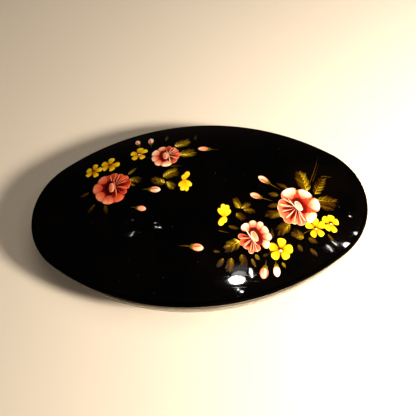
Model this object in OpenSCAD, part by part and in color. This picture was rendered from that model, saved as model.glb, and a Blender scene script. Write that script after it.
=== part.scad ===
// Oval tin box with a domed slip-on lid.
// The body is an oval band of tinplate with a rolled, wired top edge. A pressed base closes it
// below, folded around the foot of the band as a double seam. The lid is one drawn pressing: a low
// crown, a very short skirt that slips over the band, and a rim rolled outwards over a wire.
// Frame: +X along the length, +Y to the back, +Z up, origin on the ground under the centre.

/* [Body] */
// Radius of the side wall at the rounded ends
end_r = 33; // [24:0.5:38]
// Distance between the centres of an end's arc and a side's arc, which sets length and width
arc_span = 85; // [75:0.5:110]
// Height of the body, from the ground to the top of its rolled edge
body_h = 14; // [12:0.5:30]
// Thickness of the tinplate
sheet_t = 0.4; // [0.3:0.05:0.5]
// Outer radius of the rolled top edge
top_roll_r = 0.9; // [0.8:0.05:1.2]
// Width of the folded side seam at the back
side_seam_w = 4.5; // [3:0.5:8]
// Thickness of the fold on the inside of the side seam
side_seam_t = 0.45; // [0.3:0.05:0.6]

/* [Base] */
// Height of the double seam around the foot
seam_h = 3; // [2.6:0.1:4]
// Gap between the folded layers of the seam
seam_gap = 0.05; // [0.03:0.01:0.06]
// Height of the base panel's edge above the ground
panel_z = 3.6; // [3.2:0.1:5]
// Width of the base panel's raised edge
panel_edge_w = 6; // [4:0.5:10]
// Radius of each bend of the step that stiffens the base panel
panel_step_r = 0.5; // [0.4:0.05:0.6]

/* [Lid] */
// Rise of the crown above the skirt
crown_h = 12.5; // [8:0.5:24]
// Fullness of the shoulder: 1 is a plain dome, 2 a half ellipsoid
shoulder = 1; // [1:0.05:2]
// Straight height of the skirt, down to the middle of the rolled rim
skirt_h = 1.8; // [1.6:0.1:6]
// Clearance between the skirt and the side wall
lid_fit = 0.35; // [0.25:0.05:0.6]
// Clearance between the crown and the body's rolled edge that it sits on
seat_gap = 0.3; // [0.2:0.05:0.5]
// Outer radius of the rolled rim
rim_roll_r = 1.1; // [0.9:0.05:1.5]
// Clearance around the wires in the rolled edges
wire_fit = 0.12; // [0.08:0.01:0.15]

/* [Hidden] */

// Four tangent arcs make the oval. Their centres lie on 3-4-5 triangles, so that an end and a side
// meet on the line through both centres.
end_x = 0.6 * arc_span;
side_y = -0.8 * arc_span;
side_r = end_r + arc_span;
half_l = end_x + end_r;
half_w = side_y + side_r;
end_angle = atan2(4, 3);
side_angle = 90 - end_angle;

// Steps of the lid's mesh around the oval and up the crown.
end_steps = 18;
side_steps = 20;
crown_step = 6;
roll_steps = 8;
fold_steps = 6;
edge_roll_steps = 15;
roll_turn = 290;

// Layers of the double seam, as distances outwards from the side wall's face.
hook_x = 1.5 * sheet_t + 2 * seam_gap;
end_hook_x = 0.5 * sheet_t + seam_gap;
seam_x = 2.5 * sheet_t + 3 * seam_gap;
chuck_x = -(1.5 * sheet_t + seam_gap);
fold_r = sheet_t + seam_gap;
bend_r = 1.25 * sheet_t;
body_fold_z = 1.5 * sheet_t + seam_gap + fold_r;
seam_fold_z = seam_h - sheet_t / 2 - fold_r;
panel_step_x = chuck_x - 2 * bend_r - panel_edge_w;
panel_low_z = panel_z - 2 * panel_step_r;
panel_join_w = 1;

// Height and slope of the crown's outer face, where share is 0 in the middle and 1 at the edge.
function crown_z(share) = crown_h * pow(1 - share * share, 1 / shoulder);
function crown_slope(share) =
  atan(4 * share * crown_h / shoulder * pow(1 - share * share, 1 / shoulder - 1) / (half_l + half_w));

// The lid comes down until its crown stands seat_gap above the body's rolled edge.
function seat_line(half) = max([
  for (turn = [0:5:90])
    let (
      x = half - top_roll_r * (1 - cos(turn)),
      z = body_h - top_roll_r * (1 - sin(turn)),
      share = x / (half + lid_fit + sheet_t)
    ) z + seat_gap + sheet_t / cos(crown_slope(share)) - crown_z(share)
]);
skirt_top_z = max(seat_line(half_l), seat_line(half_w));
rim_z = skirt_top_z - skirt_h;
rim_x = lid_fit + rim_roll_r;

// Plane geometry of bent sheet: points of an arc, and the outline of a sheet along a path.
function arc(centre, r, from, to, steps) = [
  for (k = [0:steps])
    let (turn = from + (to - from) * k / steps) centre + r * [cos(turn), sin(turn)]
];
function unit(v) = v / norm(v);
function left(v) = [-v.y, v.x];
function mitre(path, i) =
  let (
    last = len(path) - 1,
    before = left(unit(path[max(i, 1)] - path[max(i, 1) - 1])),
    after = left(unit(path[min(i, last - 1) + 1] - path[min(i, last - 1)])),
    middle = unit(before + after)
  ) middle / (middle * before);
function once(path) = [
  for (i = [0:len(path) - 1]) if (i == 0 || norm(path[i] - path[i - 1]) > 0.001) path[i]
];
function sheet(bends, t) = let (path = once(bends)) concat(
  [for (i = [0:len(path) - 1]) path[i] + mitre(path, i) * t / 2],
  [for (i = [len(path) - 1:-1:0]) path[i] - mitre(path, i) * t / 2]
);

// Points around the oval, moved outwards by off.
function oval(off) = concat(
  [for (p = arc([end_x, 0], end_r + off, -end_angle, end_angle, end_steps)) p],
  [
    for (k = [1:side_steps - 1])
      let (turn = end_angle + 2 * side_angle * k / side_steps)
        [0, side_y] + (side_r + off) * [cos(turn), sin(turn)]
  ],
  [for (p = arc([-end_x, 0], end_r + off, 180 - end_angle, 180 + end_angle, end_steps)) p],
  [
    for (k = [1:side_steps - 1])
      let (turn = 180 + end_angle + 2 * side_angle * k / side_steps)
        [0, -side_y] + (side_r + off) * [cos(turn), sin(turn)]
  ]
);

// Sweeps a flat outline around the oval: x is outwards from the side wall, y is up.
module oval_sweep() {
  reach = 2 * end_r;
  far = 2 * half_l;
  meet = [end_x + 0.6 * reach, 0.8 * reach];
  for (turn = [0, 180])
    rotate(turn) intersection() {
      translate([end_x, 0, 0]) rotate_extrude($fn = 120) translate([end_r, 0]) children();
      cut() polygon([[end_x, 0], meet, [far, meet.y], [far, -meet.y], [meet.x, -meet.y]]);
    }
  for (turn = [0, 180])
    rotate(turn) intersection() {
      translate([0, side_y, 0]) rotate_extrude($fn = 240) translate([side_r, 0]) children();
      cut() polygon([[end_x, 0], meet, [meet.x, far], [-meet.x, far], [-meet.x, meet.y], [-end_x, 0]]);
    }
}

// Prism that trims a full turn to one arc of the oval.
module cut() {
  translate([0, 0, -body_h]) linear_extrude(3 * body_h) children();
}

// Closed skin through rings of the oval. A ring is [scale, outward offset, height].
module loft(rings, top_z, under_z) {
  loops = [for (r = rings) [for (p = oval(r[1])) [p.x * r[0], p.y * r[0], r[2]]]];
  n = len(loops[0]);
  last = len(rings) - 1;
  top = n * len(rings);
  points = concat([for (loop = loops) each loop], [[0, 0, top_z], [0, 0, under_z]]);
  faces = concat(
    [for (i = [0:n - 1]) [top, (i + 1) % n, i]],
    [
      for (k = [0:last - 1], i = [0:n - 1])
        let (j = (i + 1) % n) each [
          [k * n + i, k * n + j, (k + 1) * n + j],
          [k * n + i, (k + 1) * n + j, (k + 1) * n + i]
        ]
    ],
    [for (i = [0:n - 1]) [top + 1, last * n + i, last * n + (i + 1) % n]]
  );
  polyhedron(points, faces);
}

// Crown, skirt and rolled rim, drawn from one sheet.
module lid_shell() {
  skirt = concat(
    [[lid_fit + sheet_t / 2, skirt_top_z]],
    arc([rim_x, rim_z], rim_roll_r - sheet_t / 2, 180, 180 + roll_turn, roll_steps)
  );
  outer = [
    for (turn = [crown_step:crown_step:90 - crown_step])
      [sin(turn), lid_fit + sheet_t, skirt_top_z + crown_z(sin(turn))]
  ];
  inner = [
    for (turn = [90 - crown_step:-crown_step:crown_step])
      let (lean = crown_slope(sin(turn))) [
        sin(turn),
        lid_fit + sheet_t * (1 - sin(lean)),
        skirt_top_z + crown_z(sin(turn)) - sheet_t * cos(lean)
      ]
  ];
  rolled = [for (p = sheet(skirt, sheet_t)) [1, p.x, p.y]];
  color([0.03, 0.03, 0.03])
    loft(concat(outer, rolled, inner), skirt_top_z + crown_h, skirt_top_z + crown_h - sheet_t);
}

// Wire that stiffens the lid's rolled rim.
module lid_rim_wire() {
  color([0.62, 0.62, 0.6])
    oval_sweep() translate([rim_x, rim_z]) circle(r = rim_roll_r - sheet_t - wire_fit, $fn = 32);
}

// Band with the body hook of the seam at its foot and a rolled edge at its top.
module body_wall() {
  hook_top_z = seam_fold_z - seam_gap;
  top_z = body_h - top_roll_r;
  path = concat(
    [[hook_x, hook_top_z]],
    arc([end_hook_x, body_fold_z], fold_r, 0, -180, fold_steps),
    arc([-top_roll_r, top_z], top_roll_r - sheet_t / 2, 0, roll_turn, edge_roll_steps)
  );
  color([0.72, 0.55, 0.28]) {
    oval_sweep() polygon(sheet(path, sheet_t));
    side_seam();
  }
}

// Folded lock of the side seam, on the inside of the band at the back.
module side_seam() {
  seam_turn = side_seam_w / side_r * 180 / PI;
  foot_z = panel_z + sheet_t / 2 + bend_r;
  sink = sheet_t / 2;
  translate([0, side_y, 0]) rotate(90 - seam_turn / 2)
    rotate_extrude(angle = seam_turn, $fn = 360)
      translate([side_r - sheet_t - side_seam_t, foot_z])
        square([side_seam_t + sink, body_h - 3 * top_roll_r - foot_z]);
}

// Wire that stiffens the body's rolled edge.
module body_rim_wire() {
  color([0.62, 0.62, 0.6])
    oval_sweep() translate([-top_roll_r, body_h - top_roll_r])
      circle(r = top_roll_r - sheet_t - wire_fit / 2, $fn = 32);
}

// Base: end hook, outer wall and foot of the seam, chuck wall, raised edge and stepped panel.
module base_pan() {
  foot_z = sheet_t / 2 + bend_r;
  path = concat(
    [[end_hook_x, body_fold_z + seam_gap]],
    arc([hook_x, seam_fold_z], fold_r, 180, 0, fold_steps),
    arc([seam_x - bend_r, foot_z], bend_r, 0, -90, fold_steps),
    arc([chuck_x + bend_r, foot_z], bend_r, -90, -180, fold_steps),
    arc([chuck_x - bend_r, panel_z - bend_r], bend_r, 0, 90, fold_steps),
    arc([panel_step_x, panel_z - panel_step_r], panel_step_r, 90, 180, fold_steps),
    arc([panel_step_x - 2 * panel_step_r, panel_z - panel_step_r], panel_step_r, 0, -90, fold_steps),
    [[panel_step_x - 2 * panel_step_r - 2 * panel_join_w, panel_low_z]]
  );
  color([0.72, 0.55, 0.28]) {
    oval_sweep() polygon(sheet(path, sheet_t));
    translate([0, 0, panel_low_z - sheet_t / 2]) linear_extrude(sheet_t)
      polygon(oval(panel_step_x - 2 * panel_step_r - panel_join_w));
  }
}

lid_shell();
lid_rim_wire();
body_wall();
body_rim_wire();
base_pan();
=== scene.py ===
import math
import random

import bpy
import numpy as np
from mathutils import Matrix, Vector


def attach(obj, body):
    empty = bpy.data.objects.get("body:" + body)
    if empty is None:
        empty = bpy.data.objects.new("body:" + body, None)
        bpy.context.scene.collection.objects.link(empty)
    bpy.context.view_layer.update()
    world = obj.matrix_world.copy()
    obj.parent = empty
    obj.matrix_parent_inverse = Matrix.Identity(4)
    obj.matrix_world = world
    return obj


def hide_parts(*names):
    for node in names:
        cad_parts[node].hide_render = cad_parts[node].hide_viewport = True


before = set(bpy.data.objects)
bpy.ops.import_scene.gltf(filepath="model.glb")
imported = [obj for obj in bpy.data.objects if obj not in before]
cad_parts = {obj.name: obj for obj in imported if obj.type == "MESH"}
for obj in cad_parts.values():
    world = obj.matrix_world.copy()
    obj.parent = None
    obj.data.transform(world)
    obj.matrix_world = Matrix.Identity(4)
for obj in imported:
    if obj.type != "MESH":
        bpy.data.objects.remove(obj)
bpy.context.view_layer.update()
mm = 0.001
print("frame loaded:", sorted(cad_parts))


# Helpers for node trees and meshes.

def feed(tree, node, sockets):
    # a socket takes a link from another node's output, or else a plain value
    for key, value in sockets.items():
        if isinstance(value, bpy.types.NodeSocket):
            tree.links.new(value, node.inputs[key])
        else:
            node.inputs[key].default_value = value


def put(tree, kind, sockets=None, **settings):
    node = tree.nodes.new(kind)
    for key, value in settings.items():
        setattr(node, key, value)
    feed(tree, node, sockets or {})
    return node


def calc(tree, operation, *values):
    return put(tree, "ShaderNodeMath", dict(enumerate(values)), operation=operation).outputs[0]


def ramp(tree, value, low, high, outLow=0.0, outHigh=1.0):
    sockets = {"Value": value, "From Min": low, "From Max": high, "To Min": outLow, "To Max": outHigh}
    return put(tree, "ShaderNodeMapRange", sockets, interpolation_type="SMOOTHSTEP").outputs["Result"]


def tint(tree, share, first, second):
    # inputs 6 and 7 and output 2 are the mix node's colours
    return put(tree, "ShaderNodeMix", {0: share, 6: first, 7: second}, data_type="RGBA").outputs[2]


def grainy(tree, where, scale, detail=3.0, rough=0.55, stretch=None):
    if stretch:
        where = put(tree, "ShaderNodeMapping", {"Vector": where, "Scale": stretch}).outputs[0]
    sockets = {"Vector": where, "Scale": scale, "Detail": detail, "Roughness": rough}
    return put(tree, "ShaderNodeTexNoise", sockets).outputs["Fac"]


def roughen(tree, rough, *marks):
    # each mark adds its own share of roughness
    for mask, gain in marks:
        rough = calc(tree, "MULTIPLY_ADD", mask, gain, rough)
    return rough


def colourRamp(tree, value, stops):
    node = put(tree, "ShaderNodeValToRGB", {"Fac": value})
    band = node.color_ramp
    while len(band.elements) < len(stops):
        band.elements.new(0.5)
    for element, (place, colour) in zip(band.elements, stops):
        element.position = place
        element.color = (*colour, 1)
    return node.outputs["Color"]


def newGroup(name, kind, ins, outs):
    tree = bpy.data.node_groups.new(name, kind)
    for label, form, start in ins:
        socket = tree.interface.new_socket(label, in_out="INPUT", socket_type="NodeSocket" + form)
        if start is not None:
            socket.default_value = start
    for label, form in outs:
        tree.interface.new_socket(label, in_out="OUTPUT", socket_type="NodeSocket" + form)
    return tree, put(tree, "NodeGroupInput"), put(tree, "NodeGroupOutput")


def newMaterial(name):
    material = bpy.data.materials.new(name)
    material.use_nodes = True
    tree = material.node_tree
    tree.nodes.clear()
    shader = put(tree, "ShaderNodeBsdfPrincipled")
    put(tree, "ShaderNodeOutputMaterial", {"Surface": shader.outputs[0]})
    return material, tree, shader


def meshPiece(name, verts, faces, materials=(), edges=()):
    mesh = bpy.data.meshes.new(name)
    mesh.from_pydata([tuple(v) for v in verts], list(edges), [tuple(f) for f in faces])
    for material in materials:
        mesh.materials.append(material)
    piece = bpy.data.objects.new(name, mesh)
    bpy.context.scene.collection.objects.link(piece)
    return piece


def giveValues(piece, **values):
    for label, numbers in values.items():
        layer = piece.data.attributes.new(label, "FLOAT", "POINT")
        layer.data.foreach_set("value", np.asarray(numbers, np.float32))


def growNodes(piece, tree, **inputs):
    # runs a tree on the piece and keeps the result as its plain mesh
    grow = piece.modifiers.new(tree.name, "NODES")
    grow.node_group = tree
    for item in tree.interface.items_tree:
        if item.in_out == "INPUT" and item.name in inputs:
            grow[item.identifier] = inputs[item.name]
    graph = bpy.context.evaluated_depsgraph_get()
    made = piece.evaluated_get(graph)
    mesh = bpy.data.meshes.new_from_object(made, preserve_all_data_layers=True, depsgraph=graph)
    piece.modifiers.remove(grow)
    piece.data = mesh


def smoothPiece(piece, angle=40):
    piece.data.polygons.foreach_set("use_smooth", [True] * len(piece.data.polygons))
    piece.data.set_sharp_from_angle(angle=math.radians(angle))


# Camera at the photograph's angle, with lengths in millimetres.

cameraSet = {"elevation": 60.86, "azimuth": 10.0, "roll": -11.61, "distance": 256.7, "fieldOfView": 45.0,
             "targetZ": 15.0, "shiftX": 0.0328, "shiftY": -0.0053, "clipStart": 10.0}

elevation, azimuth, roll = (math.radians(cameraSet[k]) for k in ("elevation", "azimuth", "roll"))
backward = Vector((math.sin(azimuth) * math.cos(elevation), -math.cos(azimuth) * math.cos(elevation),
                   math.sin(elevation)))
level = Vector((math.cos(azimuth), math.sin(azimuth), 0))
upright = backward.cross(level)
across = math.cos(roll) * level + math.sin(roll) * upright
upward = -math.sin(roll) * level + math.cos(roll) * upright
cameraData = bpy.data.cameras.new("camera")
cameraData.angle = math.radians(cameraSet["fieldOfView"])
cameraData.shift_x, cameraData.shift_y = cameraSet["shiftX"], cameraSet["shiftY"]
cameraData.clip_start = cameraSet["clipStart"] * mm
camera = bpy.data.objects.new("camera", cameraData)
turned = Matrix((across, upward, backward)).transposed().to_4x4()
spot = Vector((0, 0, cameraSet["targetZ"] * mm)) + backward * cameraSet["distance"] * mm
camera.matrix_world = Matrix.Translation(spot) @ turned
bpy.context.scene.collection.objects.link(camera)
bpy.context.scene.camera = camera
print("camera set")


# Finishes. Two groups are shared: the brush strokes of the paints, and the marks of handling.

brushSet = {"values": ("tone", "rampFrom", "rampTo", "rim", "vein"),   # what every stroke carries
            "hairAlong": 1.6, "hairAcross": 9.0, "hairJump": 40.0, "hairGrain": (1.3, 3.0, 0.6),
            "rimEdge": (0.55, 0.95), "tipEdge": (0.86, 1.0),
            "ribEdge": (0.02, 0.14), "ribGain": 0.5, "veinEdge": (0.0, 0.2), "veinGain": 0.4,
            "sideVeins": 6.0, "veinSlant": 1.6, "toneSpread": 0.14}


def brushworkGroup():
    outs = [("Place", "Float"), ("Streak", "Float")]
    tree, start, end = newGroup("brushwork", "ShaderNodeTree", [("Streaks", "Float", 0.3)], outs)
    uv = put(tree, "ShaderNodeUVMap", uv_map="stroke")
    split = put(tree, "ShaderNodeSeparateXYZ", {0: uv.outputs[0]})
    along, side = split.outputs[0], split.outputs[1]
    read = {}
    for label in brushSet["values"]:
        read[label] = put(tree, "ShaderNodeAttribute", attribute_name=label).outputs["Fac"]
    # from the middle line of the stroke to its edges, 0 to 1
    away = calc(tree, "MULTIPLY", calc(tree, "ABSOLUTE", calc(tree, "SUBTRACT", side, 0.5)), 2.0)
    # place on the paint's colours, from the base of the stroke to its tip
    span = calc(tree, "SUBTRACT", read["rampTo"], read["rampFrom"])
    place = calc(tree, "MULTIPLY_ADD", span, along, read["rampFrom"])
    # a paler or darker rim
    edge = calc(tree, "MAXIMUM", ramp(tree, away, *brushSet["rimEdge"]),
                ramp(tree, along, *brushSet["tipEdge"]))
    edge = calc(tree, "MULTIPLY", edge, read["rim"])
    # hairs of the brush, different in every stroke
    spread = ((along, brushSet["hairAlong"]), (side, brushSet["hairAcross"]),
              (read["tone"], brushSet["hairJump"]))
    hairs = {axis: calc(tree, "MULTIPLY", value, gain) for axis, (value, gain) in enumerate(spread)}
    hairs = put(tree, "ShaderNodeCombineXYZ", hairs)
    streak = grainy(tree, hairs.outputs[0], *brushSet["hairGrain"])
    hair = calc(tree, "MULTIPLY", calc(tree, "SUBTRACT", streak, 0.5), start.outputs["Streaks"])
    # a rib with slanting side veins
    rib = ramp(tree, away, *brushSet["ribEdge"], brushSet["ribGain"], 0.0)
    slant = calc(tree, "SUBTRACT", calc(tree, "MULTIPLY", along, brushSet["sideVeins"]),
                 calc(tree, "MULTIPLY", away, brushSet["veinSlant"]))
    comb = calc(tree, "PINGPONG", slant, 0.5)
    comb = ramp(tree, comb, *brushSet["veinEdge"], brushSet["veinGain"], 0.0)
    vein = calc(tree, "MULTIPLY", calc(tree, "MAXIMUM", rib, comb), read["vein"])
    shift = calc(tree, "MULTIPLY", calc(tree, "SUBTRACT", read["tone"], 0.5), brushSet["toneSpread"])
    for part in (edge, hair, vein, shift):
        place = calc(tree, "ADD", place, part)
    feed(tree, end, {"Place": place, "Streak": streak})
    return tree


handledSet = {"scratches": ((0.5, 26.0), (-0.9, 34.0), (1.9, 30.0)),   # turn, and squash across the line
              "scratchTilt": 0.1, "scratchGrain": (1.0, 0.4), "scratchEdge": (0.73, 0.79),
              "smudgeGrain": (4.0, 0.6), "smudgeEdge": (0.42, 0.68),
              "speckScale": 420.0, "speckEdge": (0.04, 0.11), "speckPick": (0.90, 0.93)}


def handledGroup():
    ins = [("Smudge Size", "Float", 60.0), ("Scratch Size", "Float", 90.0)]
    outs = [("Smudge", "Float"), ("Scratch", "Float"), ("Specks", "Float")]
    tree, start, end = newGroup("handled", "ShaderNodeTree", ins, outs)
    where = put(tree, "ShaderNodeTexCoord").outputs["Object"]
    smudge = grainy(tree, where, start.outputs["Smudge Size"], *handledSet["smudgeGrain"])
    lines, tilt = [], handledSet["scratchTilt"]
    for turn, squash in handledSet["scratches"]:
        aim = put(tree, "ShaderNodeMapping", {"Vector": where, "Rotation": (tilt, tilt, turn),
                                              "Scale": (1.0, squash, 1.0)})
        field = grainy(tree, aim.outputs[0], start.outputs["Scratch Size"], *handledSet["scratchGrain"])
        lines.append(ramp(tree, field, *handledSet["scratchEdge"]))
    scratch = calc(tree, "MAXIMUM", calc(tree, "MAXIMUM", lines[0], lines[1]), lines[2])
    dots = put(tree, "ShaderNodeTexVoronoi", {"Vector": where, "Scale": handledSet["speckScale"],
                                              "Randomness": 1.0})
    near = ramp(tree, dots.outputs["Distance"], *handledSet["speckEdge"], 1.0, 0.0)
    pick = put(tree, "ShaderNodeSeparateColor", {0: dots.outputs["Color"]})
    few = ramp(tree, pick.outputs[0], *handledSet["speckPick"])
    feed(tree, end, {"Smudge": ramp(tree, smudge, *handledSet["smudgeEdge"]), "Scratch": scratch,
                     "Specks": calc(tree, "MULTIPLY", near, few)})
    return tree


brushwork, handled = brushworkGroup(), handledGroup()
lacquerSet = {"black": (0.0016, 0.0013, 0.0012, 1), "brown": (0.0045, 0.0026, 0.0018, 1),
              "worn": (0.42, 0.30, 0.15, 1), "dust": (0.16, 0.14, 0.12, 1), "dustShare": 0.6,
              "marks": {"Smudge Size": 55, "Scratch Size": 70},
              "smudgeRough": 0.035, "scratchRough": 0.05, "speckRough": 0.4, "wornRough": 0.3,
              "cloudGrain": (35, 3), "cloudEdge": (0.4, 0.7),
              "wornGrain": (900, 4, 0.65), "wornEdge": (0.50, 0.60), "wornMetal": 0.9,
              "patchGrain": (70, 2), "patchEdge": (0.42, 0.6),
              "peelGrain": (330, 2, 0.5), "peelStrength": 0.12, "peelDepth": 0.0001,
              "scratchCut": 0.15, "markStrength": 0.35, "markDepth": 0.00005, "coatRoughness": 0.03}


def blackLacquer(name, look, roughness, specular, coat):
    material, tree, shader = newMaterial(name)
    where = put(tree, "ShaderNodeTexCoord").outputs["Object"]
    use = put(tree, "ShaderNodeGroup", look["marks"], node_tree=handled)
    smudge, scratch, specks = (use.outputs[label] for label in ("Smudge", "Scratch", "Specks"))
    # rubbed through on the crest of the rim, in patches
    crest = put(tree, "ShaderNodeAttribute", attribute_name="crest").outputs["Fac"]
    rubbed = calc(tree, "MULTIPLY", crest, grainy(tree, where, *look["wornGrain"]))
    patches = ramp(tree, grainy(tree, where, *look["patchGrain"]), *look["patchEdge"])
    rubbed = calc(tree, "MULTIPLY", ramp(tree, rubbed, *look["wornEdge"]), patches)
    cloudy = ramp(tree, grainy(tree, where, *look["cloudGrain"]), *look["cloudEdge"])
    colour = tint(tree, cloudy, look["black"], look["brown"])
    dusty = calc(tree, "MULTIPLY", specks, look["dustShare"])
    colour = tint(tree, dusty, colour, look["dust"])
    colour = tint(tree, rubbed, colour, look["worn"])
    rough = roughen(tree, roughness, (smudge, look["smudgeRough"]), (scratch, look["scratchRough"]),
                    (specks, look["speckRough"]), (rubbed, look["wornRough"]))
    # faint orange peel, then scratches cut in and specks standing proud
    peel = put(tree, "ShaderNodeBump", {"Height": grainy(tree, where, *look["peelGrain"]),
                                        "Strength": look["peelStrength"],
                                        "Distance": look["peelDepth"]})
    cut = calc(tree, "SUBTRACT", specks, calc(tree, "MULTIPLY", scratch, look["scratchCut"]))
    marks = put(tree, "ShaderNodeBump", {"Height": cut, "Strength": look["markStrength"],
                                         "Distance": look["markDepth"], "Normal": peel.outputs[0]})
    feed(tree, shader, {"Base Color": colour, "Roughness": rough, "Normal": marks.outputs[0],
                        "Metallic": calc(tree, "MULTIPLY", rubbed, look["wornMetal"]),
                        "Specular IOR Level": specular, "Coat Weight": coat,
                        "Coat Roughness": look["coatRoughness"]})
    return material


goldSet = {"gold": (0.45, 0.375, 0.275, 1), "pale": (0.61, 0.55, 0.46, 1),
           "tarnish": (0.16, 0.10, 0.05, 1), "bareTin": (0.62, 0.60, 0.55, 1),
           "marks": {"Smudge Size": 80, "Scratch Size": 120},
           "rollGrain": (60, 3, 0.6, (1, 1, 30)), "rollRange": (0.2, 0.8, 0.2, 0.8),
           "spotGrain": (420, 5, 0.7), "spotEdge": (0.66, 0.74), "spotGrime": 0.25,
           "patchGrain": (30, 2), "patchEdge": (0.45, 0.65), "smudgeGrime": 0.10,
           "bareGrain": (500, 4, 0.6), "bareEdge": (0.45, 0.62), "bareShare": 0.8,
           "roughness": 0.34, "smudgeRough": 0.10, "scratchRough": 0.06, "spotRough": 0.25,
           "metallic": 0.45, "scratchCut": -0.08, "bumpStrength": 0.03, "bumpDepth": 0.0001,
           "coat": 0.35, "coatRoughness": 0.12}


def goldLacquer(look):
    material, tree, shader = newMaterial("goldLacquer")
    where = put(tree, "ShaderNodeTexCoord").outputs["Object"]
    use = put(tree, "ShaderNodeGroup", look["marks"], node_tree=handled)
    smudge, scratch = use.outputs["Smudge"], use.outputs["Scratch"]
    rolled = grainy(tree, where, *look["rollGrain"])   # lines of the rolled sheet
    colour = tint(tree, ramp(tree, rolled, *look["rollRange"]), look["gold"], look["pale"])
    # tarnish in spots and smudges, and bare tin on the crests
    spots = ramp(tree, grainy(tree, where, *look["spotGrain"]), *look["spotEdge"])
    patches = ramp(tree, grainy(tree, where, *look["patchGrain"]), *look["patchEdge"])
    spots = calc(tree, "MULTIPLY", spots, patches)
    grime = calc(tree, "MAXIMUM", calc(tree, "MULTIPLY", spots, look["spotGrime"]),
                 calc(tree, "MULTIPLY", smudge, look["smudgeGrime"]))
    colour = tint(tree, grime, colour, look["tarnish"])
    crest = put(tree, "ShaderNodeAttribute", attribute_name="crest").outputs["Fac"]
    bare = ramp(tree, grainy(tree, where, *look["bareGrain"]), *look["bareEdge"])
    bare = calc(tree, "MULTIPLY", calc(tree, "MULTIPLY", crest, bare), look["bareShare"])
    colour = tint(tree, bare, colour, look["bareTin"])
    rough = roughen(tree, look["roughness"], (smudge, look["smudgeRough"]),
                    (scratch, look["scratchRough"]), (spots, look["spotRough"]))
    height = calc(tree, "MULTIPLY_ADD", scratch, look["scratchCut"], rolled)
    bump = put(tree, "ShaderNodeBump", {"Height": height, "Strength": look["bumpStrength"],
                                        "Distance": look["bumpDepth"]})
    feed(tree, shader, {"Base Color": colour, "Roughness": rough, "Normal": bump.outputs[0],
                        "Metallic": look["metallic"], "Coat Weight": look["coat"],
                        "Coat Roughness": look["coatRoughness"]})
    return material


wireSet = {"dark": (0.42, 0.42, 0.41, 1), "light": (0.66, 0.66, 0.64, 1),
           "drawnGrain": (300, 3, 0.6, (1, 1, 12)), "roughRange": (0.2, 0.8, 0.25, 0.45)}


def steelWire(look):
    material, tree, shader = newMaterial("steelWire")
    where = put(tree, "ShaderNodeTexCoord").outputs["Object"]
    drawn = grainy(tree, where, *look["drawnGrain"])
    feed(tree, shader, {"Base Color": tint(tree, drawn, look["dark"], look["light"]),
                        "Roughness": ramp(tree, drawn, *look["roughRange"]), "Metallic": 1.0})
    return material


# colours of the paints, from the darkest place to the palest
paintLooks = {
    "pink": {
        "streaks": 0.28, "roughness": 0.32,
        "stops": [(0.0, (0.075, 0.004, 0.003)), (0.18, (0.27, 0.014, 0.008)),
                  (0.40, (0.56, 0.078, 0.030)), (0.60, (0.74, 0.215, 0.105)),
                  (0.80, (0.86, 0.48, 0.31)), (1.0, (0.92, 0.77, 0.58))]},
    "yellow": {
        "streaks": 0.26, "roughness": 0.32,
        "stops": [(0.0, (0.035, 0.012, 0.002)), (0.2, (0.22, 0.068, 0.001)),
                  (0.42, (0.62, 0.30, 0.003)), (0.7, (0.84, 0.57, 0.016)),
                  (0.9, (0.90, 0.70, 0.05)), (1.0, (0.95, 0.90, 0.74))]},
    "leaf": {
        "streaks": 0.30, "roughness": 0.32,
        "stops": [(0.0, (0.004, 0.0015, 0.0003)), (0.18, (0.073, 0.030, 0.001)),
                  (0.42, (0.160, 0.110, 0.0015)), (0.65, (0.33, 0.226, 0.005)),
                  (0.85, (0.60, 0.39, 0.022)), (1.0, (0.85, 0.66, 0.14))]},
}
paintBody = {"grain": (2500, 2), "grainShare": 0.25, "streakRough": 0.25, "bumpStrength": 0.35,
             "bumpDepth": 0.00008, "specular": 0.2, "coat": 0.5, "coatRoughness": 0.07}


def flowerPaint(name, look):
    material, tree, shader = newMaterial(name)
    use = put(tree, "ShaderNodeGroup", {"Streaks": look["streaks"]}, node_tree=brushwork)
    streak = use.outputs["Streak"]
    where = put(tree, "ShaderNodeTexCoord").outputs["Object"]
    grain = grainy(tree, where, *paintBody["grain"])
    height = calc(tree, "MULTIPLY_ADD", grain, paintBody["grainShare"], streak)
    bump = put(tree, "ShaderNodeBump", {"Height": height, "Strength": paintBody["bumpStrength"],
                                        "Distance": paintBody["bumpDepth"]})
    feed(tree, shader, {"Base Color": colourRamp(tree, use.outputs["Place"], look["stops"]),
                        "Roughness": roughen(tree, look["roughness"], (streak, paintBody["streakRough"])),
                        "Normal": bump.outputs[0], "Specular IOR Level": paintBody["specular"],
                        "Coat Weight": paintBody["coat"], "Coat Roughness": paintBody["coatRoughness"]})
    return material


black = blackLacquer("blackLacquer", lacquerSet, roughness=0.03, specular=0.42, coat=0.2)
rimBlack = blackLacquer("rimLacquer", lacquerSet, roughness=0.28, specular=0.04, coat=0.01)
gold, steel = goldLacquer(goldSet), steelWire(wireSet)
paints = {kind: flowerPaint(kind + "Paint", look) for kind, look in paintLooks.items()}
print("finishes made")


# The tin's oval plan and bent-sheet sections, in millimetres.

tin = {"endR": 33.0, "arcSpan": 85.0, "bodyH": 14.0, "sheetT": 0.4, "topRollR": 0.9, "rollTurn": 290,
       "seamH": 3.0, "seamGap": 0.05, "panelZ": 3.6, "panelEdgeW": 6.0, "panelStepR": 0.5,
       "wallStops": (4.5, 7.0, 9.5, 11.5), "crestWear": 0.9, "topCrest": 0.35, "footCrest": 0.25,
       "endSteps": 72, "sideSteps": 96, "foldSteps": 14, "bendSteps": 8, "rollSteps": 36}
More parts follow.
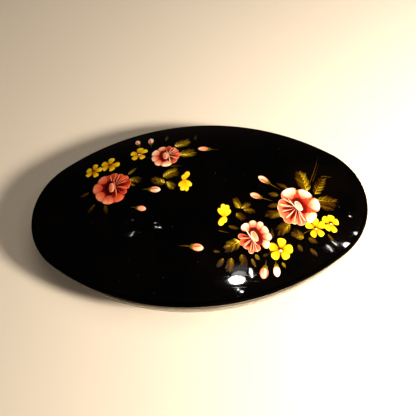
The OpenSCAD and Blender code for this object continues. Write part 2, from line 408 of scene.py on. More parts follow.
# the end and side arcs meet on the long side of a 3-4-5 triangle
endX, sideY = 0.6 * tin["arcSpan"], -0.8 * tin["arcSpan"]
sideR = tin["endR"] + tin["arcSpan"]
halfL, halfW = endX + tin["endR"], sideY + sideR
endAngle = math.atan2(4, 3)
sheetT = tin["sheetT"]


def oval(off):
    ends = np.linspace(-endAngle, endAngle, tin["endSteps"], endpoint=False)
    sides = np.linspace(endAngle, math.pi - endAngle, tin["sideSteps"], endpoint=False)
    end = np.c_[endX + (tin["endR"] + off) * np.cos(ends), (tin["endR"] + off) * np.sin(ends)]
    side = np.c_[(sideR + off) * np.cos(sides), sideY + (sideR + off) * np.sin(sides)]
    return np.concatenate([end, side, -end, -side])


def arc(centre, r, start, stop, steps):
    turn = np.radians(np.linspace(start, stop, steps + 1))
    return [(centre[0] + r * math.cos(t), centre[1] + r * math.sin(t)) for t in turn]


def faceLines(path, thick):
    # the two faces of a sheet bent along path, left one first; doubled points are dropped
    line = np.array([p for i, p in enumerate(path) if i == 0 or math.dist(p, path[i - 1]) > 0.001])
    step = np.diff(line, axis=0)
    step /= np.linalg.norm(step, axis=1)[:, None]
    left = np.c_[-step[:, 1], step[:, 0]]
    before, after = np.vstack([left[:1], left]), np.vstack([left, left[-1:]])
    middle = before + after
    middle /= np.linalg.norm(middle, axis=1)[:, None]
    mitre = middle / np.sum(middle * before, axis=1)[:, None] * thick / 2
    return line + mitre, line - mitre


def sweepTree():
    ins = [("Section", "Geometry", None), ("Plan", "Object", None), ("Finish", "Material", None)]
    tree, start, end = newGroup("sweepAroundOval", "GeometryNodeTree", ins, [("Geometry", "Geometry")])
    section = put(tree, "GeometryNodeMeshToCurve", {"Mesh": start.outputs["Section"]})
    plan = put(tree, "GeometryNodeObjectInfo", {"Object": start.outputs["Plan"]})
    path = put(tree, "GeometryNodeMeshToCurve", {"Mesh": plan.outputs["Geometry"]})
    level = put(tree, "GeometryNodeSetCurveNormal", {"Curve": path.outputs[0]}, mode="Z_UP")
    swept = put(tree, "GeometryNodeCurveToMesh", {"Curve": level.outputs[0],
                                                  "Profile Curve": section.outputs[0]})
    whole = put(tree, "GeometryNodeRealizeInstances", {"Geometry": swept.outputs[0]})
    done = put(tree, "GeometryNodeSetMaterial", {"Geometry": whole.outputs[0],
                                                 "Material": start.outputs["Finish"]})
    feed(tree, end, {0: done.outputs[0]})
    return tree


def loop(points):
    return [(i, (i + 1) % len(points)) for i in range(len(points))]


planLine = [(x * mm, y * mm, 0) for x, y in oval(0)]
plan = meshPiece("oval_plan", planLine, [], edges=loop(planLine))
sweepAround = sweepTree()


def sweptBand(name, path, crestAt, finish):
    leftFace, rightFace = faceLines(path, sheetT)
    section = np.concatenate([leftFace, rightFace[::-1]])
    piece = meshPiece(name, [(x * mm, -z * mm, 0) for x, z in section], [], edges=loop(section))
    giveValues(piece, crest=[crestAt(z) for x, z in section])
    growNodes(piece, sweepAround, Plan=plan, Finish=finish)
    smoothPiece(piece)
    return piece


# layers of the double seam, outwards from the wall's face
gap = tin["seamGap"]
hookX, endHookX, seamX = 1.5 * sheetT + 2 * gap, 0.5 * sheetT + gap, 2.5 * sheetT + 3 * gap
chuckX, foldR, bendR = -(1.5 * sheetT + gap), sheetT + gap, 1.25 * sheetT
bodyFoldZ = 1.5 * sheetT + gap + foldR
seamFoldZ = tin["seamH"] - sheetT / 2 - foldR
panelStepX = chuckX - 2 * bendR - tin["panelEdgeW"]
footZ = sheetT / 2 + bendR
rollR, topZ = tin["topRollR"], tin["bodyH"] - tin["topRollR"]


def topCrest(z):
    return tin["crestWear"] if z > tin["bodyH"] - tin["topCrest"] else 0.0


wallPath = ([(hookX, seamFoldZ - gap)] + arc((endHookX, bodyFoldZ), foldR, 0, -180, tin["foldSteps"])
            + [(-sheetT / 2, z) for z in tin["wallStops"]]
            + arc((-rollR, topZ), rollR - sheetT / 2, 0, tin["rollTurn"], tin["rollSteps"]))
bodyWall = sweptBand("body_wall_sheet", wallPath, topCrest, gold)


def loftPiece(name, rings, poles, materials):
    # rings run from one pole to the other: scale of the oval, offset, height
    count = len(oval(0))
    verts = np.concatenate([np.c_[oval(off) * scale, np.full(count, z)] for scale, off, z in rings])
    top = len(verts)
    verts = np.vstack([verts, [(0, 0, z) for z in poles]])
    around = np.arange(count)
    onward = (around + 1) % count
    faces = [(top, i, j) for i, j in zip(around, onward)]
    for k in range(len(rings) - 1):
        a, b = k * count, (k + 1) * count
        faces += [(a + i, b + i, b + j, a + j) for i, j in zip(around, onward)]
    last = (len(rings) - 1) * count
    faces += [(top + 1, last + j, last + i) for i, j in zip(around, onward)]
    return meshPiece(name, verts * mm, faces, materials), count


# the base: hook over the wall's, seam, chuck wall, raised edge, step and panel
stepR, bendSteps, edgeZ = tin["panelStepR"], tin["bendSteps"], tin["panelZ"]
joinX = panelStepX - 2 * stepR - 1
panPath = ([(endHookX, bodyFoldZ + gap)] + arc((hookX, seamFoldZ), foldR, 180, 0, tin["foldSteps"])
           + arc((seamX - bendR, footZ), bendR, 0, -90, bendSteps)
           + arc((chuckX + bendR, footZ), bendR, -90, -180, bendSteps)
           + arc((chuckX - bendR, edgeZ - bendR), bendR, 0, 90, bendSteps)
           + arc((panelStepX, edgeZ - stepR), stepR, 90, 180, bendSteps)
           + arc((panelStepX - 2 * stepR, edgeZ - stepR), stepR, 0, -90, bendSteps)
           + [(joinX, edgeZ - 2 * stepR)])
upper, lower = faceLines(panPath, sheetT)
flat = [0.25, 0.5, 0.75]   # rings across the panel
rings = ([(k, joinX, lower[-1][1]) for k in flat] + [(1, x, z) for x, z in lower[::-1]]
         + [(1, x, z) for x, z in upper] + [(k, joinX, upper[-1][1]) for k in flat[::-1]])
basePan, ringSize = loftPiece("base_pan_sheet", rings, [rings[0][2], rings[-1][2]], [gold])
crest = np.zeros(len(basePan.data.vertices))
for k, (scale, off, z) in enumerate(rings):
    worn = scale == 1 and z < tin["footCrest"]
    crest[k * ringSize:(k + 1) * ringSize] = tin["crestWear"] if worn else 0.0
giveValues(basePan, crest=crest)
smoothPiece(basePan)

# folded lock of the side seam, inside the wall at the back
seamLock = {"width": 4.5, "thick": 0.45, "shoulder": 0.25, "sunk": 0.1, "bottom": 4.3, "top": 11.3,
            "chamfer": 0.015, "steps": 10, "sharpAngle": 30}
turns = np.linspace(-0.5, 0.5, seamLock["steps"] + 1) * seamLock["width"] / sideR + math.pi / 2
outline = [(seamLock["sunk"], 0), (seamLock["sunk"], 1), (-seamLock["shoulder"], 1),
           (-seamLock["thick"], 1 - seamLock["chamfer"]), (-seamLock["thick"], seamLock["chamfer"]),
           (-seamLock["shoulder"], 0)]
lockVerts = []
for t in turns:
    for x, share in outline:
        r = sideR - sheetT + x
        z = seamLock["bottom"] + share * (seamLock["top"] - seamLock["bottom"])
        lockVerts.append((r * math.cos(t) * mm, (sideY + r * math.sin(t)) * mm, z * mm))
corners = len(outline)
lockFaces = []
for k in range(seamLock["steps"]):
    here, there = k * corners, (k + 1) * corners
    lockFaces += [(here + i, there + i, there + j, here + j) for i, j in loop(outline)]
lastCorner = seamLock["steps"] * corners
lockFaces += [tuple(range(corners)), tuple(range(lastCorner, lastCorner + corners))[::-1]]
sideSeam = meshPiece("side_seam_lock", lockVerts, lockFaces, [gold])
smoothPiece(sideSeam, seamLock["sharpAngle"])
print("body made")


# The lid: crown, skirt and rolled rim from one sheet.

lidSet = {"crownH": 12.5, "shoulder": 1.0, "skirtH": 1.8, "fit": 0.35, "seatGap": 0.3, "rimRollR": 1.1,
          "crownRings": 56, "innerRings": 34, "skirtRings": 4, "rollSteps": 40, "rollLead": 0.3,
          "rimCrest": 0.25,
          "goldRings": 6,   # the gold starts inside, just above the roll
          "dents": [(-30, -15, 6, 0.045), (-17, -16, 5, 0.04), (6, -40, 8, 0.05), (-52, -20, 9, 0.06),
                    (22, 28, 8, 0.05)]}   # x, y, reach, depth


def crownZ(share):
    return lidSet["crownH"] * max(0.0, 1 - share * share) ** (1 / lidSet["shoulder"])


def crownLean(share):
    # slope of the crown, for the mean of its half length and half width
    fall = lidSet["crownH"] / lidSet["shoulder"] * (1 - share * share) ** (1 / lidSet["shoulder"] - 1)
    return math.atan(4 * share * fall / (halfL + halfW))


def seatLine(half):
    # height at which the crown's inside clears the body's rolled edge by the gap
    rest = []
    for turn in np.radians(np.arange(0, 91, 5)):   # over the roll, from its side to its top
        x, z = half - rollR * (1 - math.cos(turn)), tin["bodyH"] - rollR * (1 - math.sin(turn))
        share = x / (half + lidSet["fit"] + sheetT)
        rest.append(z + lidSet["seatGap"] + sheetT / math.cos(crownLean(share)) - crownZ(share))
    return max(rest)


def innerRing(share):
    lean = crownLean(share)
    off, drop = fit + sheetT * (1 - math.sin(lean)), sheetT * math.cos(lean)
    return share, off, skirtTopZ + crownZ(share) - drop


fit, rimR = lidSet["fit"], lidSet["rimRollR"]
skirtTopZ = max(seatLine(halfL), seatLine(halfW))
rimZ, rimX = skirtTopZ - lidSet["skirtH"], fit + rimR
skirtStops = np.linspace(skirtTopZ, rimZ + lidSet["rollLead"], lidSet["skirtRings"])
skirtPath = ([(fit + sheetT / 2, z) for z in skirtStops]
             + arc((rimX, rimZ), rimR - sheetT / 2, 180, 180 + tin["rollTurn"], lidSet["rollSteps"]))
outside, inside = faceLines(skirtPath, sheetT)
outerShares = np.sin(np.linspace(0, math.pi / 2, lidSet["crownRings"] + 1)[1:-1])
innerShares = np.sin(np.linspace(0, math.pi / 2, lidSet["innerRings"] + 1)[1:-1][::-1])
rings = [(s, fit + sheetT, skirtTopZ + crownZ(s)) for s in outerShares]
rimFrom = len(rings)
rings += [(1, x, z) for x, z in outside] + [(1, x, z) for x, z in inside[::-1]]
goldFrom = len(rings) - lidSet["goldRings"]
rings += [innerRing(s) for s in innerShares]
crownTopZ = skirtTopZ + lidSet["crownH"]
crownPoles = [crownTopZ, crownTopZ - sheetT]
lid, ringSize = loftPiece("lid_pressing", rings, crownPoles, [black, gold, rimBlack])
finish = np.zeros(len(lid.data.polygons), np.int32)
finish[(rimFrom + 1) * ringSize:] = 2   # skirt and rolled rim
finish[(goldFrom + 1) * ringSize:] = 1   # the inside
lid.data.polygons.foreach_set("material_index", finish)
spots = np.array([v.co for v in lid.data.vertices])
for x, y, reach, depth in lidSet["dents"]:
    away = ((spots[:, 0] - x * mm) ** 2 + (spots[:, 1] - y * mm) ** 2) / (reach * mm) ** 2
    spots[:, 2] -= np.where(spots[:, 2] > skirtTopZ * mm, depth * mm * np.exp(-away * 2), 0)
lid.data.vertices.foreach_set("co", spots.ravel())
crest = np.zeros(len(spots))
for k, (scale, off, z) in enumerate(rings):
    wear = max(0, 1 - abs(off - rimX - rimR) / lidSet["rimCrest"])
    crest[k * ringSize:(k + 1) * ringSize] = wear if scale == 1 else 0
giveValues(lid, crest=crest)
smoothPiece(lid)
print("lid made")


# Painted sprays, drawn flat and then laid on the crown.

paintSet = {"seed": 11, "thick": 0.07, "sink": 0.03, "columns": 8, "thinnest": 0.03, "layer": 0.006,
            "rayHeight": 0.08, "sharpAngle": 60}
shapes = {
    "round": {"widest": 0.64, "base": 0.8, "tip": 0.5, "rows": 12},
    "square": {"widest": 0.70, "base": 0.55, "tip": 0.36, "rows": 12},
    "fan": {"widest": 0.80, "base": 1.15, "tip": 0.45, "rows": 12},
    "oval": {"widest": 0.5, "base": 0.5, "tip": 0.5, "rows": 10},
    "bud": {"widest": 0.55, "base": 0.6, "tip": 0.62, "rows": 10},
    "dab": {"widest": 0.55, "base": 0.7, "tip": 0.75, "rows": 8},
    "blade": {"widest": 0.42, "base": 0.7, "tip": 0.95, "rows": 14},
    "stem": {"widest": 0.2, "base": 0.3, "tip": 0.6, "rows": 14},
}
art = {kind: {label: [] for label in ("verts", "faces", "uv", *brushSet["values"])} for kind in paints}
chance = random.Random(paintSet["seed"])


def ahead(x, y, angle, distance):
    turn = math.radians(angle)
    return x + distance * math.cos(turn), y + distance * math.sin(turn)


def stroke(kind, x, y, angle, length, width, shape, tones,
           rim=0.0, lift=0.0, bend=0.0, start=0.0, vein=0.0):
    form, columns = shapes[shape], paintSet["columns"]
    turn, widest = math.radians(angle), form["widest"]
    u = (1 - np.cos(np.linspace(0, math.pi, form["rows"] + 1)))[:, None] / 2   # base to tip
    v = np.linspace(-1, 1, columns + 1)   # edge to edge
    low, high = np.clip(u / widest, 0, 1), np.clip((u - widest) / (1 - widest), 0, 1)
    swell = np.sin(low * math.pi / 2) ** form["base"]
    taper = np.cos(high * math.pi / 2) ** form["tip"]
    half = np.maximum(np.where(u < widest, swell, taper), paintSet["thinnest"])
    along = start + u * length + 0 * v
    side = half * v * width / 2 + bend * length * u ** 2
    px = x + along * math.cos(turn) - side * math.sin(turn)
    py = y + along * math.sin(turn) + side * math.cos(turn)
    # domed across and thicker at the tip, with edges sunk into the lacquer
    body = (1 - np.abs(v) ** 8) * (1 - np.abs(2 * u - 1) ** 12)
    dome = paintSet["thick"] * (0.5 + 0.5 * (1 - v ** 2)) * (0.6 + 0.4 * u)
    pz = (paintSet["sink"] + lift + dome) * body - paintSet["sink"]
    store = art[kind]
    first, wide = len(store["verts"]), columns + 1
    store["verts"] += np.stack([px, py, pz], axis=-1).reshape(-1, 3).tolist()
    store["uv"] += np.stack([u + 0 * v, 0 * u + (v + 1) / 2], axis=-1).reshape(-1, 2).tolist()
    for row in range(form["rows"]):
        a = first + row * wide
        store["faces"] += [(a + c, a + wide + c, a + wide + c + 1, a + c + 1) for c in range(columns)]
    values = {"tone": chance.random(), "rampFrom": tones[0], "rampTo": tones[1], "rim": rim,
              "vein": vein}
    for label, value in values.items():
        store[label] += [value] * ((form["rows"] + 1) * wide)


def rose(x, y, r, turn, lean, pale, lobes, fan, heart):
    # turn is where the pale lobes face, with the coral fan opposite; lean is the line of the heart
    folds = round(fan / 22)   # one to each 22 degrees of the fan

    def ring(count, spread, facing, shape, tones, length, width, start,
             rim=0.0, lift=0.0, shift=0.0, curl=0.06, loose=4):
        ox, oy = ahead(x, y, turn, r * shift)
        order = sorted(range(count), key=lambda k: -abs(k - (count - 1) / 2))   # outer ones first
        for rank, k in enumerate(order):
            angle = facing + spread * (k / (count - 1) - 0.5) + chance.uniform(-loose, loose)
            stroke("pink", ox, oy, angle, r * length * chance.uniform(0.88, 1.06),
                   r * width * chance.uniform(0.84, 1.18), shape, tones, rim,
                   lift + paintSet["layer"] * rank, chance.uniform(-curl, curl), r * start)

    def heartStroke(forward, aside, length, width, shape, tones, rim=0.0, lift=0.0, bend=0.0):
        size = r * heart
        px, py = ahead(*ahead(x, y, lean, size * forward), lean + 90, size * aside)
        stroke("pink", px, py, lean, length * size, width * size, shape, tones, rim, lift, bend)

    # coral fan, its dark folds and its pale lines
    ring(folds, fan, turn + 182, "fan", (0.0, 0.54 * pale + 0.10), length=0.86, width=0.44, start=0.06,
         rim=0.16, shift=-0.10)
    ring(folds + 2, fan - 10, turn + 180, "blade", (0.0, 0.10), length=0.66, width=0.15, start=0.06,
         lift=0.08, shift=-0.10, curl=0.12)
    ring(folds + 1, fan - 20, turn + 184, "fan", (0.34 + 0.4 * pale, 0.22 + 0.60 * pale), length=0.74,
         width=0.085, start=0.08, rim=-0.1, lift=0.12, shift=-0.10, curl=0.18, loose=8)
    # pale lobes, and the shade inside them
    ring(lobes, 164, turn, "round", (0.46 * pale, 1.12 * pale), length=0.60, width=3.4 / lobes,
         start=0.41, rim=-0.34 * pale, lift=0.05, loose=2)
    ring(3, 118, turn + 4, "round", (0.0, 0.42 * pale), length=0.52, width=0.62, start=0.16, lift=0.04)
    # dark hollow, the heart's petal in two layers, and the curled edge beside it
    heartStroke(-0.46, 0.10, 0.92, 0.56, "oval", (0.0, 0.04), rim=0.12, lift=0.14)
    heartStroke(-0.32, 0.02, 0.62, 0.36, "oval", (0.4 + 0.56 * pale, 0.34 + 0.54 * pale), lift=0.17)
    heartStroke(-0.27, 0.04, 0.50, 0.24, "oval", (0.24 + 0.42 * pale, 0.24 + 0.58 * pale),
                rim=0.08, lift=0.21)
    heartStroke(-0.62, -0.20, 1.22, 0.075, "blade", (0.98 * pale, 0.80 * pale), lift=0.19, bend=0.14)


def yellowFlower(x, y, r, turn, broad, tones):
    petals = 5
    apart = 360 / petals
    for k in range(petals):
        stroke("yellow", x, y, turn + apart * k + chance.uniform(-10, 10), r * chance.uniform(0.74, 0.94),
               r * broad * chance.uniform(0.9, 1.1), "square", tones[:2], rim=-0.34,
               lift=0.01 + paintSet["layer"] * k, bend=chance.uniform(-0.08, 0.08), start=0.12 * r)
    for k in range(petals):
        angle = turn + apart * k + 30
        stroke("yellow", x, y, angle, 0.34 * r, 0.09 * r, "blade", (0.10, 0.40), lift=0.06)
    stroke("yellow", x - 0.24 * r, y + 0.07 * r, -8, 0.48 * r, 0.28 * r, "oval", (0.0, 0.06), lift=0.07)
    middleTone = (tones[2], tones[2])
    stroke("yellow", x - 0.11 * r, y - 0.10 * r, 0, 0.26 * r, 0.22 * r, "oval", middleTone, lift=0.10)


def cupFlower(x, y, r, turn):
    petals = [(38, 0.80, 0.44, "round"), (-34, 0.72, 0.42, "round"), (10, 1.02, 0.42, "square"),
              (-11, 0.96, 0.42, "square"), (158, 0.80, 0.48, "round"), (-170, 0.52, 0.40, "oval")]
    for k, (angle, length, width, shape) in enumerate(petals):
        stroke("yellow", x, y, turn + angle, r * length, r * width, shape, (0.44, 0.94), rim=-0.30,
               lift=0.01 + 0.008 * k, start=-0.06 * r)


def bud(x, y, angle, length, width, stem, tones=(0.64, 0.98), stripe=(0.46, 0.70)):
    stroke("leaf", x, y, angle + 180, stem, 0.55, "stem", (0.40, 0.08), lift=0.01, bend=0.1)
    stroke("pink", x, y, angle, length, width, "bud", tones, rim=-0.22, lift=0.03)
    stroke("pink", x, y, angle + 9, length * 0.84, width * 0.34, "bud", stripe, rim=0.1, lift=0.07)
    cupX, cupY = ahead(x, y, angle, -0.5)
    for side, share in ((26, 0.42), (-26, 0.38), (0, 0.30)):
        stroke("leaf", cupX, cupY, angle + side, length * share, width * 0.32, "blade", (0.24, 0.60),
               lift=0.09)


def leaf(x, y, angle, length, width, tones):
    # dark ground, then dabs of the brush outwards from the rib, then the rib
    stroke("leaf", x, y, angle, length, width * 1.1, "blade", (0.24, 0.02), rim=-0.22, bend=0.04)
    pairs = 6
    lit = chance.choice((1, -1))
    for k in range(pairs):
        share = (k + 0.35) / pairs
        reach = width * (0.40 + 0.55 * math.sin(math.pi * (0.15 + 0.8 * share))) * 0.82
        fade = tones[0] + (tones[1] - tones[0]) * share
        dabX, dabY = ahead(x, y, angle, share * 0.84 * length)
        for side in (1, -1):
            tone = fade * (1.1 if side == lit else 0.66) * chance.uniform(0.55, 1.3)
            stroke("leaf", dabX, dabY, angle + side * (46 - 22 * share) + chance.uniform(-6, 6),
                   reach * chance.uniform(0.85, 1.1), width * 0.24, "dab", (tone, 0.12 * tone), rim=-0.16,
                   lift=0.012 + 0.003 * k)
    stroke("leaf", x, y, angle, length * 0.8, 0.4, "stem", (tones[0] + 0.1, 0.5 * tones[1]),
           lift=0.05, bend=0.03)


# tones from the base of a leaf or petal to its tip; a yellow flower's third is its middle
lemon, ochre, cream = (0.30, 0.92, 1.0), (0.30, 0.85, 0.3), (0.82, 1.08)
fresh, bright, middle, faint, dim = (1.3, 0.66), (1.05, 0.40), (0.80, 0.24), (0.58, 0.12), (0.28, 0.0)
# places on the lid in millimetres, then what each motif's function asks for;
# a blade has angle, length, width and tones, and a stem has angle, length, width and bend
sprays = {
    "right": {
        "leaf": [(56.5, 1.5, 105, 13.2, 7.4, bright), (60, 0, 62, 12.6, 5.8, middle),
                 (60.5, -3, -7, 11, 6.6, middle), (42.5, -11.2, -177, 8, 4.8, faint),
                 (46.5, -16.5, -151, 7.2, 6, middle), (52.5, -22.7, 151, 6.2, 4.8, middle),
                 (23, -8.4, 112, 6.2, 4, bright), (23.5, -8.3, 28, 5.4, 3.2, bright),
                 (24.6, -9.2, -8, 6, 3.2, middle), (21, -11, -35, 5, 3.8, middle),
                 (22.4, -24.6, -155, 8, 6, bright), (18, -32, -107, 6.4, 4.2, middle),
                 (22.7, -30.4, -78, 5.4, 4.2, faint), (14.3, -32.2, -132, 5.4, 2.8, faint)],
        "blade": [(62, -6, -19, 7.4, 4, dim), (41.7, -6.5, -172, 5.6, 3.3, dim),
                  (42.1, -1.3, 168, 5.4, 3.3, dim), (47, 2.8, 150, 6.6, 3, dim),
                  (54.5, -22.6, -29, 5.2, 3.3, dim), (49.5, -25.8, -64, 3.9, 2.7, dim),
                  (55, -27.3, -49, 5.3, 2.7, dim), (64, -20.4, -53, 5.2, 1.7, dim),
                  (17.1, -17.2, -18, 5.5, 2.3, dim), (29, -30.6, -54, 3.3, 2.3, faint),
                  (27.2, -32.3, -68, 4.6, 2, faint), (37.2, -23.6, 83, 5.6, 2.3, dim),
                  (32.6, -31.3, 16, 3.4, 2, dim), (9.5, -28.8, -11, 3.5, 1.6, dim),
                  (64.2, 11.3, -6, 6.5, 0.9, dim), (41.3, -34, -58, 3.1, 2, middle)],
        "stem": [(58, 6, 66, 19, 0.6, 0.06), (59.5, 7, 64, 14, 0.6, 0.08),
                 (12.3, -19.2, -18, 5.4, 0.8, 0.1), (36.6, -32, 100, 6, 0.7, 0.05),
                 (52.5, -20.5, 28, 4.5, 0.7, -0.05)],
        "bud": [(38.1, 5.6, 140, 6.7, 3.9, 6.5), (33.8, -2.8, 158, 6, 3.6, 6),
                (-1.2, -26.3, -10, 6.5, 3.9, 6),
                (33.5, -35.7, -105, 5.8, 4.5, 3, (0.52, 0.78), (0.96, 1.0)),
                (38.5, -35, -87, 5.5, 3.8, 3, cream, (0.9, 1.0))],
        "rose": [(51.3, -7, 10.5, 36, -60, 0.96, 4, 168, 1.0),
                 (29.2, -22.4, 7.9, 48, -64, 0.91, 6, 116, 1.3)],
        "yellow": [(66.2, -15, 4.6, 8, 0.78, lemon), (58.6, -17.7, 4.9, 28, 0.80, lemon),
                   (41, -28.2, 5.8, 14, 0.76, lemon)],
        "cup": [(15.4, -12.4, 7.0, 84)],
    },
    "left": {
        "leaf": [(-10, 33.4, 24, 8.8, 6.6, fresh), (-6.9, 26, 14, 7.8, 7, fresh),
                 (-15, 11.9, 22, 7.4, 6.6, fresh), (-13.5, 7.8, 158, 8, 5.6, bright),
                 (-13.1, 8.6, -45, 6.2, 4.4, fresh), (-32.5, 12.5, -14, 6.4, 4.6, bright)],
        "blade": [(-11.4, 18.4, -5, 6.8, 2.7, dim), (-33.7, 15.6, 42, 6.4, 2.5, middle),
                  (-32.2, 9.5, -32, 3.8, 1.9, middle), (-53.8, 7, -162, 5.4, 2.5, dim),
                  (-49.8, -0.3, -130, 6.3, 2.5, dim), (-44.3, -1.7, -79, 5.6, 3, dim),
                  (-15.1, 38.7, 81, 5.4, 2.4, dim), (0.7, 37.8, 75, 4.4, 2.4, dim)],
        "stem": [(-20.5, 25.3, 165, 6, 0.6, 0.1)],
        "bud": [(-22.2, 4.9, -9, 6.6, 4.0, 4),
                (-27.9, -5, -15, 5.4, 3.3, 3, (0.62, 0.86), (0.60, 0.76)),
                (9.3, 29.2, 170, 6.9, 3.8, 5), (-30.1, 37.6, 109, 5, 3.2, 3, cream),
                (-23.2, 37, 96, 5.8, 3.5, 3, cream)],
        "rose": [(-41.5, 8.4, 10.2, 218, 96, 0.64, 5, 150, 1.1),
                 (-14.3, 26.4, 8.0, 194, 98, 0.93, 5, 132, 1.25)],
        "yellow": [(-53.5, 21.6, 5.0, 160, 0.78, ochre), (-44.6, 24.2, 5.4, 150, 0.78, ochre),
                   (-29, 30, 5.3, 170, 0.74, lemon)],
        "cup": [(-3.9, 9, 7.4, -88)],
    },
}


def blade(x, y, angle, length, width, tones):
    stroke("leaf", x, y, angle, length, width, "blade", (0.8 * tones[0], tones[1]),
           rim=-0.2, bend=0.05, vein=0.45)


def stem(x, y, angle, length, width, bend):
    stroke("leaf", x, y, angle, length, width, "stem", (0.22, 0.05), bend=bend)


# painted in this order, the ones behind first
motifs = {"blade": blade, "leaf": leaf, "stem": stem, "bud": bud, "rose": rose, "yellow": yellowFlower,
          "cup": cupFlower}
for spray in sprays.values():
    for motif, paintMotif in motifs.items():
        for placed in spray[motif]:
            paintMotif(*placed)


def layTree():
    # drops the flat artwork on the crown, with its thickness along the crown's normal
    ins = [("Artwork", "Geometry", None), ("Lid", "Object", None), ("Ray Height", "Float", 0.1),
           ("Paint", "Material", None)]
    tree, start, end = newGroup("layPaintOnCrown", "GeometryNodeTree", ins, [("Geometry", "Geometry")])
    spot = put(tree, "ShaderNodeSeparateXYZ", {0: put(tree, "GeometryNodeInputPosition").outputs[0]})
    above = put(tree, "ShaderNodeCombineXYZ", {0: spot.outputs[0], 1: spot.outputs[1],
                                               2: start.outputs["Ray Height"]})
    crown = put(tree, "GeometryNodeObjectInfo", {"Object": start.outputs["Lid"]})
    hit = put(tree, "GeometryNodeRaycast", {"Target Geometry": crown.outputs["Geometry"],
                                            "Source Position": above.outputs[0],
                                            "Ray Direction": (0, 0, -1), "Ray Length": 1.0})
    proud = put(tree, "ShaderNodeVectorMath", {0: hit.outputs["Hit Normal"], "Scale": spot.outputs[2]},
                operation="SCALE")
    place = put(tree, "ShaderNodeVectorMath", {0: hit.outputs["Hit Position"], 1: proud.outputs[0]},
                operation="ADD")
    laid = put(tree, "GeometryNodeSetPosition", {"Geometry": start.outputs["Artwork"],
                                                 "Position": place.outputs[0]})
    whole = put(tree, "GeometryNodeRealizeInstances", {"Geometry": laid.outputs[0]})
    done = put(tree, "GeometryNodeSetMaterial", {"Geometry": whole.outputs[0],
                                                 "Material": start.outputs["Paint"]})
    feed(tree, end, {0: done.outputs[0]})
    return tree


layPaint = layTree()
painted = []
for kind in ("leaf", "pink", "yellow"):
    store = art[kind]
    piece = meshPiece("painted_" + kind, np.array(store["verts"]) * mm, store["faces"])
    layer = piece.data.uv_layers.new(name="stroke")
    corner = np.zeros(len(piece.data.loops), np.int32)
    piece.data.loops.foreach_get("vertex_index", corner)
    layer.data.foreach_set("uv", np.array(store["uv"], np.float32)[corner].ravel())
    giveValues(piece, **{label: store[label] for label in brushSet["values"]})
    growNodes(piece, layPaint, Lid=lid, Paint=paints[kind], **{"Ray Height": paintSet["rayHeight"]})
    smoothPiece(piece, paintSet["sharpAngle"])
    painted.append(piece)
    print("painted", kind, len(piece.data.polygons), "faces")

bpy.data.objects.remove(plan)


# Each piece rides on its body.

for piece, body, slot, nodes in ((lid, "lid", "black_lacquer", ["lid_shell"]),
                                 (bodyWall, "body", "gold_lacquer", ["body_wall"]),
                                 (basePan, "body", "gold_lacquer", ["base_pan"]),
                                 (sideSeam, "body", "gold_lacquer", []),
                                 *((piece, "lid", "black_lacquer", []) for piece in painted)):
    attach(piece, body)
    if nodes:
        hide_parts(*nodes)
for node in ("lid_rim_wire", "body_rim_wire"):
    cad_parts[node].data.materials.clear()
    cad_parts[node].data.materials.append(steel)
print("pieces on their bodies")


# Floor, lights and sky, in metres.

stageSet = {"floor": (0.72, 0.62, 0.50), "floorShade": 0.96, "floorGrain": (12, 3), "floorRough": 0.9,
            "reach": 3.0, "fade": (0.24, 0.7),
            "zenith": (0.022, 0.02, 0.017), "horizon": (0.068, 0.056, 0.044), "skyRise": (0.0, 0.4),
            "backdrop": (0.55, 0.52, 0.48), "look": "High Contrast",
            "glintDistance": 0.85, "glintColour": (1, 0.98, 0.96)}
# name, heading, height, distance, size, power, colour
softLamps = [("keySoft", -22, 28, 0.42, 0.08, 3.1, (1, 0.96, 0.9)),
             ("fillSoft", 62, 62, 1.6, 1.4, 5.6, (1, 0.97, 0.93))]
# name, heading, height, width, depth, roll, power
glintLamps = [("frontGlint", -70.2, 62.5, 0.084, 0.066, -14, 0.63),
              ("frontStreak", -57.2, 63.8, 0.014, 0.082, -26, 0.1),
              ("frontVeil", -62, 68.2, 0.09, 0.07, 0, 0.007),
              ("frontHaze", -63.4, 67, 0.085, 0.065, 0, 0.014),
              ("frontBloom", -66.3, 64.9, 0.075, 0.055, 0, 0.05),
              ("lowGlint", -72.4, 57.6, 0.01, 0.014, 0, 0.016),
              ("lowerGlint", -71.1, 56.3, 0.01, 0.014, 0, 0.016),
              ("sideGlint", -8.4, 48.3, 0.066, 0.036, -8, 0.2),
              ("sideStreak", -15, 52.7, 0.008, 0.06, -45, 0.024),
              ("sideTail", -9.1, 52.2, 0.01, 0.066, -62, 0.04),
              ("smallGlint", 5.6, 45.0, 0.034, 0.02, 0, 0.03),
              ("tinyGlint", 20.3, 43.5, 0.014, 0.008, 0, 0.006),
              ("backGlint", 169.8, 64.8, 0.046, 0.004, -6, 0.009),
              ("backTiny", 154.8, 63.7, 0.01, 0.004, 0, 0.001),
              ("highGlint", 156.3, 71.8, 0.007, 0.006, 0, 0.004),
              ("highTiny", 151.2, 70.7, 0.008, 0.004, 0, 0.0012)]

floorMaterial, tree, shader = newMaterial("paleFloor")
where = put(tree, "ShaderNodeTexCoord").outputs["Object"]
pale = stageSet["floor"]
shaded = [c * stageSet["floorShade"] for c in pale]
clouded = grainy(tree, where, *stageSet["floorGrain"])
feed(tree, shader, {"Base Color": tint(tree, clouded, (*shaded, 1), (*pale, 1)),
                    "Roughness": stageSet["floorRough"]})
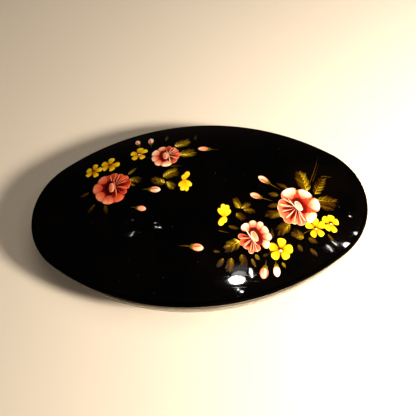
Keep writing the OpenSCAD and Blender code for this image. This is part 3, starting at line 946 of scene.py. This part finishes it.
# far from the box the floor passes into the backdrop
away = put(tree, "ShaderNodeVectorMath", {0: where}, operation="LENGTH").outputs["Value"]
distant = put(tree, "ShaderNodeEmission", {"Color": (*stageSet["backdrop"], 1)})
faded = put(tree, "ShaderNodeMixShader", {0: ramp(tree, away, *stageSet["fade"]), 1: shader.outputs[0],
                                          2: distant.outputs[0]})
feed(tree, tree.nodes["Material Output"], {"Surface": faded.outputs[0]})
reach = stageSet["reach"]
floorCorners = [(-reach, -reach, 0), (reach, -reach, 0), (reach, reach, 0), (-reach, reach, 0)]
floor = meshPiece("floor", floorCorners, [(0, 1, 2, 3)], [floorMaterial])


def hangLamp(name, heading, height, distance, wide, deep, roll, power, colour):
    lamp = bpy.data.lights.new(name, "AREA")
    lamp.shape, lamp.size, lamp.size_y = "ELLIPSE", wide, deep
    lamp.energy, lamp.color = power, colour
    holder = bpy.data.objects.new(name, lamp)
    a, e = math.radians(heading), math.radians(height)
    toward = Vector((math.cos(a) * math.cos(e), math.sin(a) * math.cos(e), math.sin(e)))
    aim = toward.to_track_quat("Z", "Y").to_matrix().to_4x4()
    spin = Matrix.Rotation(math.radians(roll), 4, "Z")
    holder.matrix_world = Matrix.Translation(toward * distance) @ aim @ spin
    bpy.context.scene.collection.objects.link(holder)
    return holder


for name, heading, height, distance, size, power, colour in softLamps:
    hangLamp(name, heading, height, distance, size, size, 0, power, colour).visible_glossy = False
for name, heading, height, wide, deep, roll, power in glintLamps:
    hangLamp(name, heading, height, stageSet["glintDistance"], wide, deep, roll, power,
             stageSet["glintColour"])

sky = bpy.data.worlds.new("sky")
sky.use_nodes = True
tree = sky.node_tree
toSky = put(tree, "ShaderNodeTexCoord").outputs["Generated"]
rise = put(tree, "ShaderNodeSeparateXYZ", {0: toSky}).outputs[2]
low, high = (*stageSet["horizon"], 1), (*stageSet["zenith"], 1)
shade = tint(tree, ramp(tree, rise, *stageSet["skyRise"]), low, high)
seen = put(tree, "ShaderNodeLightPath").outputs["Is Camera Ray"]
feed(tree, tree.nodes["Background"], {"Color": tint(tree, seen, shade, (*stageSet["backdrop"], 1))})
bpy.context.scene.world = sky
bpy.context.scene.view_settings.view_transform = "Standard"
bpy.context.scene.view_settings.look = stageSet["look"]
print("stage set")
